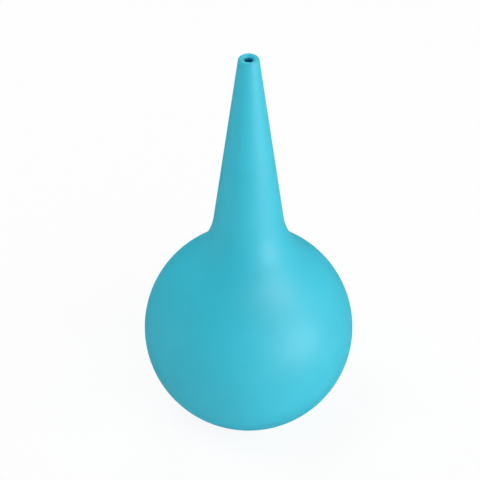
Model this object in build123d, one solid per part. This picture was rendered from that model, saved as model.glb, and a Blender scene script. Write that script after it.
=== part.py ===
from build123d import *
import os
from math import atan2, cos, degrees, hypot, radians, sin, sqrt

# Bulb nasal aspirator: a soft hollow bulb with a tapered nozzle plugged into its neck.
# Millimetres, +Z up, origin at the centre of the flat foot. Every piece is round about Z.

# Driving dimensions of the outside
BULB_DIAMETER = 50.0
FOOT_DIAMETER = 18.4  # flat that the bulb stands on
TIP_ABOVE_CENTRE = 78.35  # from the middle of the ball to the tip
TIP_DIAMETER = 5.04  # of the cone, if its lip were sharp
CONE_SLOPE = 0.127  # radius gained per millimetre down the nozzle
SHOULDER_RADIUS = 18.2  # hollow curve from the nozzle's cone into the ball
LIP_OUTER_ROUND = 0.6
LIP_INNER_ROUND = 0.9  # funnel into the tip hole

# Driving dimensions of the inside
BULB_WALL = 2.2
FOOT_WALL = 2.6
FOOT_EDGE_ROUND = 3.0
TIP_HOLE_DIAMETER = 1.76
PASSAGE_KNEE_DIAMETER = 7.8  # where the passage stops widening with the nozzle's cone
PASSAGE_DIAMETER = 8.0  # at the open end of the spigot
SPIGOT_DIAMETER = 12.0
SPIGOT_LENGTH = 9.0
SPIGOT_LEAD_IN = 0.6
NECK_FLARE_RADIUS = 5.0  # from the neck bore out into the chamber
BORE_EDGE = 0.3

# Fits
NECK_CLEARANCE = 0.05  # radial, spigot in neck bore
SEAM_GAP = 0.05  # between the nozzle's shoulder and the neck
THUMB_ZONE_DIAMETER = 32.0  # the part of the bulb's underside that a thumb pushes in
THUMB_ZONE_CLEARANCE = 0.08  # radial, all round the thumb zone

# Worked out from the above
BALL = BULB_DIAMETER / 2
CHAMBER = BALL - BULB_WALL
FOOT_RADIUS = FOOT_DIAMETER / 2
CENTRE_Z = sqrt(BALL**2 - FOOT_RADIUS**2)
TIP_Z = CENTRE_Z + TIP_ABOVE_CENTRE
SPIGOT_RADIUS = SPIGOT_DIAMETER / 2
NECK_BORE = SPIGOT_RADIUS + NECK_CLEARANCE
THUMB_ZONE = THUMB_ZONE_DIAMETER / 2


def shoulder_centre():
    """Centre of the hollow curve that touches both the ball and the nozzle's cone."""
    stretch = hypot(1, CONE_SLOPE)
    reach = TIP_DIAMETER / 2 + CONE_SLOPE * TIP_ABOVE_CENTRE + SHOULDER_RADIUS * stretch
    span = BALL + SHOULDER_RADIUS
    root = sqrt((CONE_SLOPE * reach) ** 2 - stretch**2 * (reach**2 - span**2))
    above = (CONE_SLOPE * reach + root) / stretch**2
    return reach - CONE_SLOPE * above, CENTRE_Z + above


SHOULDER = shoulder_centre()
SEAM_Z = SHOULDER[1] - SHOULDER_RADIUS * CONE_SLOPE / hypot(1, CONE_SLOPE)


def cone_radius(z):
    """Outside radius of the nozzle at height z."""
    return TIP_DIAMETER / 2 + CONE_SLOPE * (TIP_Z - z)


def sphere_z(radius, r, side=-1):
    """Height of a sphere about the ball's centre at distance r from the axis, below it or above it."""
    return CENTRE_Z + side * sqrt(radius**2 - r**2)


def arc(centre, start, end):
    """The shorter arc about centre from start to end."""
    first = degrees(atan2(start[1] - centre[1], start[0] - centre[0]))
    last = degrees(atan2(end[1] - centre[1], end[0] - centre[0]))
    turn = (last - first + 180) % 360 - 180
    middle = radians(first + turn / 2)
    radius = hypot(start[0] - centre[0], start[1] - centre[1])
    through = (centre[0] + radius * cos(middle), centre[1] + radius * sin(middle))
    return ThreePointArc(start, through, end)


def turned(outline):
    """The solid that a closed outline of (radius, height) sweeps about Z."""
    return revolve(Plane.XZ * outline, Axis.Z)


def corner(outline, x, y):
    """The outline's corner nearest to (x, y)."""
    return outline.vertices().sort_by_distance((x, y))[0]


def nozzle():
    """Tapered tube of even wall with a rounded lip, and a plug-in spigot with the end of its passage."""
    bottom = SEAM_Z - SPIGOT_LENGTH
    hole = TIP_HOLE_DIAMETER / 2
    knee = PASSAGE_KNEE_DIAMETER / 2
    knee_z = TIP_Z - (knee - hole) / CONE_SLOPE
    outline = make_face(
        Polyline(
            (PASSAGE_DIAMETER / 2, bottom),
            (SPIGOT_RADIUS, bottom),
            (SPIGOT_RADIUS, SEAM_Z),
            (cone_radius(SEAM_Z), SEAM_Z),
            (TIP_DIAMETER / 2, TIP_Z),
            (hole, TIP_Z),
            (knee, knee_z),
            (PASSAGE_DIAMETER / 2, bottom),
        )
    )
    outline = chamfer(corner(outline, SPIGOT_RADIUS, bottom), SPIGOT_LEAD_IN)
    outline = fillet(corner(outline, TIP_DIAMETER / 2, TIP_Z), LIP_OUTER_ROUND)
    outline = fillet(corner(outline, hole, TIP_Z), LIP_INNER_ROUND)
    return turned(outline)


def bulb():
    """Hollow ball with a flared shoulder, a neck bore on top and the thumb zone's opening below."""
    ball_centre = (0, CENTRE_Z)
    edge = THUMB_ZONE + THUMB_ZONE_CLEARANCE
    top = SEAM_Z - SEAM_GAP
    flare_x = NECK_BORE + NECK_FLARE_RADIUS
    flare_z = sphere_z(CHAMBER + NECK_FLARE_RADIUS, flare_x, side=1)
    share = BALL / (BALL + SHOULDER_RADIUS)
    shoulder_foot = (SHOULDER[0] * share, CENTRE_Z + (SHOULDER[1] - CENTRE_Z) * share)
    neck_x = SHOULDER[0] - sqrt(SHOULDER_RADIUS**2 - (top - SHOULDER[1]) ** 2)
    share = CHAMBER / (CHAMBER + NECK_FLARE_RADIUS)
    flare_foot = (flare_x * share, CENTRE_Z + (flare_z - CENTRE_Z) * share)
    outer_low = (edge, sphere_z(BALL, edge))
    inner_low = (edge, sphere_z(CHAMBER, edge))
    outline = make_face(
        [
            arc(ball_centre, outer_low, shoulder_foot),
            arc(SHOULDER, shoulder_foot, (neck_x, top)),
            Line((neck_x, top), (NECK_BORE, top)),
            Line((NECK_BORE, top), (NECK_BORE, flare_z)),
            arc((flare_x, flare_z), (NECK_BORE, flare_z), flare_foot),
            arc(ball_centre, flare_foot, inner_low),
            Line(inner_low, outer_low),
        ]
    )
    return turned(chamfer(corner(outline, NECK_BORE, top), BORE_EDGE))


def bulb_base():
    """The bulb's underside, with its flat foot: the zone that a thumb pushes in."""
    ball_centre = (0, CENTRE_Z)
    inner_flat = sqrt(CHAMBER**2 - (CENTRE_Z - FOOT_WALL) ** 2)
    foot_edge = (FOOT_RADIUS, 0)
    outer_high = (THUMB_ZONE, sphere_z(BALL, THUMB_ZONE))
    inner_high = (THUMB_ZONE, sphere_z(CHAMBER, THUMB_ZONE))
    outline = make_face(
        [
            Line((0, 0), foot_edge),
            arc(ball_centre, foot_edge, outer_high),
            Line(outer_high, inner_high),
            arc(ball_centre, inner_high, (inner_flat, FOOT_WALL)),
            Line((inner_flat, FOOT_WALL), (0, FOOT_WALL)),
            Line((0, FOOT_WALL), (0, 0)),
        ]
    )
    return turned(fillet(corner(outline, *foot_edge), FOOT_EDGE_ROUND))


os.makedirs("parts", exist_ok=True)
export_step(nozzle(), "parts/nozzle.step")
export_step(bulb(), "parts/bulb.step")
export_step(bulb_base(), "parts/bulb_base.step")
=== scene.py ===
import math

import bmesh
import bpy
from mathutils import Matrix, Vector


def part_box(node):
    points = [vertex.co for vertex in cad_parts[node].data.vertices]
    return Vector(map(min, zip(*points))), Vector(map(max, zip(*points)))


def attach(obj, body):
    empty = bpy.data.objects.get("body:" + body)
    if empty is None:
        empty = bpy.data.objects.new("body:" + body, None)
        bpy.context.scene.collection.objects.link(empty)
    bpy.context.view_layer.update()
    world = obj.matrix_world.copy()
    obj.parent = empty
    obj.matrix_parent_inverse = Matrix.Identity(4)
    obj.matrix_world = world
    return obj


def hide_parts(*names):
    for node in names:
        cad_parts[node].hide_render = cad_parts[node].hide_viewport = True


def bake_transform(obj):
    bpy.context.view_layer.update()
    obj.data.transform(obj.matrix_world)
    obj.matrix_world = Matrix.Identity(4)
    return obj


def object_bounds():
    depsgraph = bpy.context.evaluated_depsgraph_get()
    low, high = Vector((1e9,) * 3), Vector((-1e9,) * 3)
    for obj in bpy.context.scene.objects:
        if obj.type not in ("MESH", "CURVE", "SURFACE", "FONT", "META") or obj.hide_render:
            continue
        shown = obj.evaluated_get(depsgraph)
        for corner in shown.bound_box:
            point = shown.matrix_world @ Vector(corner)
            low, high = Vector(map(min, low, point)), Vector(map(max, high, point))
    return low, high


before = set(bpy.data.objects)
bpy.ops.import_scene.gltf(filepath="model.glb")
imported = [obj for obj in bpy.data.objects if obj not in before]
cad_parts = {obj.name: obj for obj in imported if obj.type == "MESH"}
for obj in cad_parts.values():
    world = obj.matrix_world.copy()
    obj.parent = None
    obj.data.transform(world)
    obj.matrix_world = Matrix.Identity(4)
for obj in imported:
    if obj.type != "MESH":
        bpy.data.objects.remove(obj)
cad_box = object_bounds()

# Looks of a bulb nasal aspirator. Lengths are in millimetres until MM turns them into metres.
MM = 0.001

# Read from the frame
BULB_LOW, BULB_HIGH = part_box("bulb")
NOZZLE_LOW, NOZZLE_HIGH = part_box("nozzle")
BALL = (BULB_HIGH.x - BULB_LOW.x) / 2 / MM
TIP_Z = NOZZLE_HIGH.z / MM
SPIGOT_END_Z = NOZZLE_LOW.z / MM
SEAM_RADIUS = (NOZZLE_HIGH.x - NOZZLE_LOW.x) / 2 / MM

# Details that no box gives
FOOT_RADIUS = 9.2
FOOT_ROUND = 3.0
FOOT_WALL = 2.6
WALL = 2.2
TIP_RADIUS = 2.52
LIP_OUTER_ROUND = 0.6
LIP_INNER_ROUND = 0.9
HOLE_RADIUS = 0.88
KNEE_RADIUS = 3.9  # where the passage stops widening with the nozzle's cone
PASSAGE_RADIUS = 4.0
SPIGOT_RADIUS = 6.0
NECK_BORE = 6.05
NECK_FLARE = 5.0
KNEE_BEND = 10.0  # radius of the passage's turn at the knee
SPIGOT_LEAD_IN = 0.6  # rounding of its lower edge, which enters the bore first
EDGE_ROUND = 0.3  # on the bore's and the passage's edges
CAD_SEAM_GAP = 0.05  # clearance between neck and nozzle in the CAD
SEAM_GAP = 0.005  # what shows of the seam between neck and nozzle
SEAM_ROUND = 0.01

SEAM_Z = BULB_HIGH.z / MM + CAD_SEAM_GAP
NECK_TOP_Z = SEAM_Z - SEAM_GAP
CENTRE_Z = math.sqrt(BALL**2 - FOOT_RADIUS**2)
CHAMBER = BALL - WALL

# Camera
CAMERA_ASIDE = -2.06  # the place it aims at, from the middle of the ball
CAMERA_ABOVE_CENTRE = 25.6
CAMERA_ELEVATION_DEG = 35.264
CAMERA_DISTANCE = 3194.8
CAMERA_LENS = 1000
CAMERA_SENSOR = 36

# Studio, with lengths in metres
LAMP_DISTANCE = 0.6
FILL_SIZE = 0.3
FLOOR_SIZE = 12.0
FLOOR_GLOW = 0.9  # share of the floor's brightness that no shadow takes away, beside the object
GLOW_START = 0.1  # distance from the object where that share begins to grow
GLOW_FULL = 0.5  # distance beyond which the floor is plain white
FLOOR_LIFT = 0.32  # strength of the light that the floor itself throws up at the object

# Colours
CYAN_DEEP = (0.032, 0.485, 0.630, 1)
CYAN_PALE = (0.038, 0.515, 0.665, 1)
# painted shade: the darker blue painted on walls that face the axis, in the tip hole, bore and passage, for
# the shade inside them
PASSAGE_PAINTED_SHADE = (0.004, 0.18, 0.33, 1)
FLOOR_DULL = (0.92, 0.92, 0.92, 1)
FLOOR_BRIGHT = (0.94, 0.94, 0.94, 1)
WHITE = (1, 1, 1, 1)

# Mesh fineness
RING_POINTS = 192
ARC_STEP_DEG = 2.5
LINE_STEP = 1.2
LINE_ENDS = [0.0, 0.06, 0.2, 0.5]  # how far from each end a straight stretch gets its closer points
SHORT_LINE = 2.2  # a stretch no longer than this has only those
SAME_POINT = 1e-4
ON_AXIS = 1e-6


# ---------------------------------------------------------------- outlines, as (radius, height) points


def shoulder():
    """Centre and radius of the hollow curve that joins the ball to the nozzle's cone at the seam."""
    slope = (SEAM_RADIUS - TIP_RADIUS) / (TIP_Z - SEAM_Z)
    stretch = math.hypot(1, slope)
    out_r, out_z = 1 / stretch, slope / stretch
    rise = SEAM_Z - CENTRE_Z
    radius = (SEAM_RADIUS**2 + rise**2 - BALL**2) / 2
    radius /= BALL - (out_r * SEAM_RADIUS + out_z * rise)
    return (SEAM_RADIUS + radius * out_r, SEAM_Z + radius * out_z), radius


def arc(centre, start, end):
    """Points on the shorter arc about centre, with both ends."""
    first = math.atan2(start[1] - centre[1], start[0] - centre[0])
    last = math.atan2(end[1] - centre[1], end[0] - centre[0])
    turn = (last - first + math.pi) % (2 * math.pi) - math.pi
    radius = math.dist(start, centre)
    count = max(4, math.ceil(abs(math.degrees(turn)) / ARC_STEP_DEG))
    angles = [first + turn * i / count for i in range(count + 1)]
    return [(centre[0] + radius * math.cos(a), centre[1] + radius * math.sin(a)) for a in angles]


def line(start, end):
    """Points on a straight stretch, closer together near its ends, where corners are."""
    length = math.dist(start, end)
    low = [m for m in LINE_ENDS if m < length / 2]
    high = [length - m for m in reversed(low)]
    span = length - 2 * LINE_ENDS[-1]
    count = max(1, math.ceil(span / LINE_STEP)) if length > SHORT_LINE else 1
    middle = [LINE_ENDS[-1] + span * i / count for i in range(1, count)]
    marks = low + middle + high
    return [
        (start[0] + (end[0] - start[0]) * m / length, start[1] + (end[1] - start[1]) * m / length)
        for m in marks
    ]


def rounded(before, corner, after, radius):
    """The corner between two straight directions, as a small arc that touches both."""
    a = Vector(before) - Vector(corner)
    b = Vector(after) - Vector(corner)
    a.normalize()
    b.normalize()
    half = a.angle(b) / 2
    reach = radius / math.tan(half)
    centre = Vector(corner) + (a + b).normalized() * radius / math.sin(half)
    return arc(tuple(centre), tuple(Vector(corner) + a * reach), tuple(Vector(corner) + b * reach))


def joined(*runs):
    """One outline from runs of points, without doubled points."""
    points = []
    for run in runs:
        for p in run:
            if not points or math.dist(points[-1], p) > SAME_POINT:
                points.append(p)
    return points


def bulb_outline():
    """The bulb's whole wall: from the foot's middle up the outside, down the neck bore and the chamber."""
    ball_centre = (0.0, CENTRE_Z)
    centre, radius = shoulder()
    share = BALL / (BALL + radius)
    shoulder_low = (centre[0] * share, CENTRE_Z + (centre[1] - CENTRE_Z) * share)
    neck_edge = (centre[0] - math.sqrt(radius**2 - (NECK_TOP_Z - centre[1]) ** 2), NECK_TOP_Z)
    # the foot's edge is an arc that touches the ball from inside and the ground
    edge_r = math.sqrt((BALL - FOOT_ROUND) ** 2 - (CENTRE_Z - FOOT_ROUND) ** 2)
    share = BALL / (BALL - FOOT_ROUND)
    edge_high = (edge_r * share, CENTRE_Z + (FOOT_ROUND - CENTRE_Z) * share)
    flare_r = NECK_BORE + NECK_FLARE
    flare_z = CENTRE_Z + math.sqrt((CHAMBER + NECK_FLARE) ** 2 - flare_r**2)
    share = CHAMBER / (CHAMBER + NECK_FLARE)
    flare_low = (flare_r * share, CENTRE_Z + (flare_z - CENTRE_Z) * share)
    floor_r = math.sqrt(CHAMBER**2 - (CENTRE_Z - FOOT_WALL) ** 2)
    # from the neck's edge, one step down the shoulder's own slope there
    lean = (Vector(neck_edge) - Vector(centre)) / radius
    neck_side = (neck_edge[0] - lean.y, neck_edge[1] + lean.x)
    outer_corner = rounded(neck_side, neck_edge, (0.0, NECK_TOP_Z), SEAM_ROUND)
    bore_edge = (NECK_BORE, NECK_TOP_Z)
    bore_corner = rounded(neck_edge, bore_edge, (NECK_BORE, 0.0), EDGE_ROUND)
    return joined(
        line((0.0, 0.0), (edge_r, 0.0)),
        arc((edge_r, FOOT_ROUND), (edge_r, 0.0), edge_high),
        arc(ball_centre, edge_high, shoulder_low),
        arc(centre, shoulder_low, outer_corner[0]),
        outer_corner,
        line(outer_corner[-1], bore_corner[0]),
        bore_corner,
        line(bore_corner[-1], (NECK_BORE, flare_z)),
        arc((flare_r, flare_z), (NECK_BORE, flare_z), flare_low),
        arc(ball_centre, flare_low, (floor_r, FOOT_WALL)),
        line((floor_r, FOOT_WALL), (0.0, FOOT_WALL)),
    )


def nozzle_outline():
    """The nozzle's whole wall: up the cone, over the lip, down the passage and round the spigot."""
    slope = (SEAM_RADIUS - TIP_RADIUS) / (TIP_Z - SEAM_Z)
    knee = (KNEE_RADIUS, TIP_Z - (KNEE_RADIUS - HOLE_RADIUS) / slope)
    seat = (SEAM_RADIUS, SEAM_Z)
    tip = (TIP_RADIUS, TIP_Z)
    hole = (HOLE_RADIUS, TIP_Z)
    open_end = (PASSAGE_RADIUS, SPIGOT_END_Z)
    spigot_end = (SPIGOT_RADIUS, SPIGOT_END_Z)
    spigot_top = (SPIGOT_RADIUS, SEAM_Z)
    seat_corner = rounded(spigot_top, seat, tip, SEAM_ROUND)
    lip = rounded(seat, tip, hole, LIP_OUTER_ROUND)
    mouth = rounded(tip, hole, knee, LIP_INNER_ROUND)
    bend = rounded(hole, knee, open_end, KNEE_BEND)
    inner_end = rounded(knee, open_end, spigot_end, EDGE_ROUND)
    outer_end = rounded(open_end, spigot_end, spigot_top, SPIGOT_LEAD_IN)
    return joined(
        seat_corner,
        line(seat_corner[-1], lip[0]),
        lip,
        mouth,
        line(mouth[-1], bend[0]),
        bend,
        line(bend[-1], inner_end[0]),
        inner_end,
        line(inner_end[-1], outer_end[0]),
        outer_end,
        line(outer_end[-1], spigot_top),
        line(spigot_top, seat_corner[0]),
    )


# ---------------------------------------------------------------- meshes


def lathe(name, outline, closed):
    """A watertight round mesh from an outline: a closed ring, or one that starts and ends on the axis."""
    mesh = bmesh.new()
    rings = []
    for radius, height in outline:
        if radius < ON_AXIS:
            rings.append([mesh.verts.new((0, 0, height * MM))])
            continue
        ring = []
        for i in range(RING_POINTS):
            a = 2 * math.pi * i / RING_POINTS
            ring.append(mesh.verts.new((radius * MM * math.cos(a), radius * MM * math.sin(a), height * MM)))
        rings.append(ring)
    pairs = list(zip(rings, rings[1:]))
    if closed:
        pairs.append((rings[-1], rings[0]))
    for low, high in pairs:
        for i in range(RING_POINTS):
            j = (i + 1) % RING_POINTS
            if len(low) == 1:
                mesh.faces.new((low[0], high[i], high[j]))
            elif len(high) == 1:
                mesh.faces.new((low[i], low[j], high[0]))
            else:
                mesh.faces.new((low[i], low[j], high[j], high[i]))
    bmesh.ops.recalc_face_normals(mesh, faces=mesh.faces)
    data = bpy.data.meshes.new(name)
    mesh.to_mesh(data)
    mesh.free()
    data.shade_smooth()
    piece = bpy.data.objects.new(name, data)
    bpy.context.scene.collection.objects.link(piece)
    return piece


# ---------------------------------------------------------------- material


def facing_axis(nodes, links, place):
    """Socket that is 1 on walls that face the axis, inside the bore and passage, and 0 on the outside:
    where the plastic gets its painted shade.
    """
    flat = nodes.new("ShaderNodeVectorMath")
    flat.operation = "MULTIPLY"
    flat.inputs[1].default_value = (1, 1, 0)
    links.new(place.outputs["Object"], flat.inputs[0])
    outward = nodes.new("ShaderNodeVectorMath")
    outward.operation = "NORMALIZE"
    links.new(flat.outputs["Vector"], outward.inputs[0])
    lean = nodes.new("ShaderNodeVectorMath")
    lean.operation = "DOT_PRODUCT"
    links.new(outward.outputs["Vector"], lean.inputs[0])
    links.new(place.outputs["Normal"], lean.inputs[1])
    ramp = nodes.new("ShaderNodeMapRange")
    ramp.inputs["From Min"].default_value = -0.8
    ramp.inputs["From Max"].default_value = -1.0
    links.new(lean.outputs["Value"], ramp.inputs["Value"])
    return ramp.outputs["Result"]


def cyan(nodes, links, drift):
    """Socket with the plastic's colour, which drifts slowly from place to place."""
    tint = nodes.new("ShaderNodeValToRGB")
    tint.color_ramp.elements[0].position = 0.3
    tint.color_ramp.elements[0].color = CYAN_DEEP
    tint.color_ramp.elements[1].position = 0.7
    tint.color_ramp.elements[1].color = CYAN_PALE
    links.new(drift.outputs["Fac"], tint.inputs["Fac"])
    return tint.outputs["Color"]


def fine_grain(nodes, links, place):
    """Socket with the surface's direction, roughened by a fine moulded grain."""
    grain = nodes.new("ShaderNodeTexNoise")
    grain.inputs["Scale"].default_value = 2600.0
    grain.inputs["Detail"].default_value = 4.0
    links.new(place.outputs["Object"], grain.inputs["Vector"])
    bump = nodes.new("ShaderNodeBump")
    bump.inputs["Strength"].default_value = 0.12
    bump.inputs["Distance"].default_value = 0.03 * MM
    links.new(grain.outputs["Fac"], bump.inputs["Height"])
    return bump.outputs["Normal"]


def soft_plastic(name):
    """Satin soft PVC in cyan, with fine grain, uneven polish and a little light passing under the skin;
    walls that face the axis get painted shade, a darker blue in the hole, bore and passage.
    """
    material = bpy.data.materials.new(name)
    material.use_nodes = True
    nodes, links = material.node_tree.nodes, material.node_tree.links
    shader = nodes["Principled BSDF"]
    place = nodes.new("ShaderNodeTexCoord")
    drift = nodes.new("ShaderNodeTexNoise")
    drift.inputs["Scale"].default_value = 60.0
    drift.inputs["Detail"].default_value = 3.0
    links.new(place.outputs["Object"], drift.inputs["Vector"])

    # painted shade: walls that face the axis are painted a darker blue, for the shade deep in the hole and
    # passage
    passage_shade = nodes.new("ShaderNodeMix")
    passage_shade.data_type = "RGBA"
    passage_shade.inputs["B"].default_value = PASSAGE_PAINTED_SHADE
    links.new(facing_axis(nodes, links, place), passage_shade.inputs["Factor"])
    links.new(cyan(nodes, links, drift), passage_shade.inputs["A"])
    links.new(passage_shade.outputs["Result"], shader.inputs["Base Color"])
    links.new(fine_grain(nodes, links, place), shader.inputs["Normal"])

    polish = nodes.new("ShaderNodeMapRange")
    polish.inputs["To Min"].default_value = 0.50
    polish.inputs["To Max"].default_value = 0.57
    links.new(drift.outputs["Fac"], polish.inputs["Value"])
    links.new(polish.outputs["Result"], shader.inputs["Roughness"])

    shader.inputs["IOR"].default_value = 1.5
    shader.inputs["Specular IOR Level"].default_value = 0.25
    shader.inputs["Subsurface Weight"].default_value = 0.1
    shader.inputs["Subsurface Radius"].default_value = (0.4, 1.0, 1.2)
    shader.inputs["Subsurface Scale"].default_value = 1.0 * MM
    return material


def glow_share(nodes, links, path):
    """Socket with the floor's share of plain white to the camera, which grows to all of it far away."""
    place = nodes.new("ShaderNodeTexCoord")
    away = nodes.new("ShaderNodeVectorMath")
    away.operation = "LENGTH"
    links.new(place.outputs["Object"], away.inputs[0])
    growth = nodes.new("ShaderNodeMapRange")
    growth.interpolation_type = "SMOOTHSTEP"
    growth.inputs["From Min"].default_value = GLOW_START
    growth.inputs["From Max"].default_value = GLOW_FULL
    growth.inputs["To Min"].default_value = FLOOR_GLOW
    links.new(away.outputs["Value"], growth.inputs["Value"])
    share = nodes.new("ShaderNodeMath")
    share.operation = "MULTIPLY"
    links.new(path.outputs["Is Camera Ray"], share.inputs[0])
    links.new(growth.outputs["Result"], share.inputs[1])
    return share.outputs["Value"]


def pale_floor():
    """A plain white studio floor: it glows to the camera, so that shadows on it stay light."""
    material = bpy.data.materials.new("pale_floor")
    material.use_nodes = True
    nodes, links = material.node_tree.nodes, material.node_tree.links
    shader = nodes["Principled BSDF"]
    noise = nodes.new("ShaderNodeTexNoise")
    noise.inputs["Scale"].default_value = 8.0
    ramp = nodes.new("ShaderNodeValToRGB")
    ramp.color_ramp.elements[0].color = FLOOR_DULL
    ramp.color_ramp.elements[1].color = FLOOR_BRIGHT
    links.new(noise.outputs["Fac"], ramp.inputs["Fac"])
    links.new(ramp.outputs["Color"], shader.inputs["Base Color"])
    shader.inputs["Roughness"].default_value = 0.9
    shader.inputs["Specular IOR Level"].default_value = 0.0

    path = nodes.new("ShaderNodeLightPath")
    lift = nodes.new("ShaderNodeMath")
    lift.operation = "MULTIPLY"
    lift.inputs[1].default_value = FLOOR_LIFT
    links.new(path.outputs["Is Diffuse Ray"], lift.inputs[0])
    shader.inputs["Emission Color"].default_value = WHITE
    links.new(lift.outputs["Value"], shader.inputs["Emission Strength"])

    glow = nodes.new("ShaderNodeEmission")
    mix = nodes.new("ShaderNodeMixShader")
    links.new(glow_share(nodes, links, path), mix.inputs["Fac"])
    links.new(shader.outputs["BSDF"], mix.inputs[1])
    links.new(glow.outputs["Emission"], mix.inputs[2])
    links.new(mix.outputs["Shader"], nodes["Material Output"].inputs["Surface"])
    return material


# ---------------------------------------------------------------- studio


def floor():
    """A wide floor just under the foot, which the plastic doesn't mirror and which shades no lamp."""
    bpy.ops.mesh.primitive_plane_add(size=FLOOR_SIZE, location=(0, 0, cad_box[0].z))
    plane = bpy.context.object
    plane.name = "floor"
    plane.visible_glossy = False
    plane.visible_shadow = False
    plane.data.materials.append(pale_floor())


def white_surroundings():
    """White all round to the camera, while the object is lit by the lamps alone."""
    world = bpy.data.worlds.new("studio")
    bpy.context.scene.world = world
    world.use_nodes = True
    nodes, links = world.node_tree.nodes, world.node_tree.links
    path = nodes.new("ShaderNodeLightPath")
    links.new(path.outputs["Is Camera Ray"], nodes["Background"].inputs["Strength"])
    nodes["Background"].inputs["Color"].default_value = WHITE


def towards(azimuth, elevation):
    """Unit vector to a place seen from the object: azimuth 0 is in front, 90 is on its right."""
    a, e = math.radians(azimuth), math.radians(elevation)
    return Vector((math.sin(a) * math.cos(e), -math.cos(a) * math.cos(e), math.sin(e)))


def lamp(name, azimuth, elevation, width, height, watts):
    """A soft rectangular light that looks at the middle of the ball."""
    aim = Vector((0, 0, CENTRE_Z * MM))
    light = bpy.data.lights.new(name, "AREA")
    light.shape = "RECTANGLE"
    light.size = width
    light.size_y = height
    light.energy = watts
    holder = bpy.data.objects.new(name, light)
    holder.location = aim + towards(azimuth, elevation) * LAMP_DISTANCE
    holder.rotation_euler = (holder.location - aim).to_track_quat("Z", "Y").to_euler()
    holder.visible_camera = False
    bpy.context.scene.collection.objects.link(holder)
    return holder


def fill(name, azimuth, elevation, watts):
    """A broad light that shades the object and leaves no highlight on it."""
    lamp(name, azimuth, elevation, FILL_SIZE, FILL_SIZE, watts).visible_glossy = False


def strip(name, azimuth, elevation, width, height, watts):
    """A long light that only makes a highlight."""
    lamp(name, azimuth, elevation, width, height, watts).visible_diffuse = False


def camera():
    """A long lens that looks down from the front, with the object a little right of the middle."""
    aim = Vector((CAMERA_ASIDE * MM, 0, (CENTRE_Z + CAMERA_ABOVE_CENTRE) * MM))
    data = bpy.data.cameras.new("camera")
    data.lens = CAMERA_LENS
    data.sensor_width = CAMERA_SENSOR
    data.clip_start = 0.1
    data.clip_end = 20
    view = bpy.data.objects.new("camera", data)
    view.location = aim + towards(0, CAMERA_ELEVATION_DEG) * (CAMERA_DISTANCE * MM)
    view.rotation_euler = (view.location - aim).to_track_quat("Z", "Y").to_euler()
    bpy.context.scene.collection.objects.link(view)
    bpy.context.scene.camera = view


# ---------------------------------------------------------------- build

bulb = lathe("bulb_skin", bulb_outline(), closed=False)
bulb.data.materials.append(soft_plastic("bulb_plastic"))
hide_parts("bulb", "bulb_base")
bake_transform(bulb)

nozzle = lathe("nozzle_tube", nozzle_outline(), closed=True)
nozzle.data.materials.append(soft_plastic("nozzle_plastic"))
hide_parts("nozzle")
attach(nozzle, "nozzle")

floor()
white_surroundings()
fill("front_left_fill", azimuth=-60, elevation=68, watts=1.1)
fill("front_right_fill", azimuth=20, elevation=40, watts=1.25)
fill("right_fill", azimuth=60, elevation=22, watts=1.3)
fill("far_right_fill", azimuth=110, elevation=20, watts=0.9)
fill("back_left_fill", azimuth=-115, elevation=30, watts=1.0)
fill("back_fill", azimuth=180, elevation=45, watts=1.0)
strip("upright_strip", azimuth=70, elevation=58, width=0.12, height=0.3, watts=5.5)
strip("level_strip", azimuth=54, elevation=4, width=0.42, height=0.2, watts=5.6)
strip("left_strip", azimuth=-80, elevation=10, width=0.2, height=0.3, watts=0.5)
strip("back_strip", azimuth=180, elevation=50, width=0.3, height=0.3, watts=0.8)
camera()
bpy.context.scene.view_settings.view_transform = "Standard"
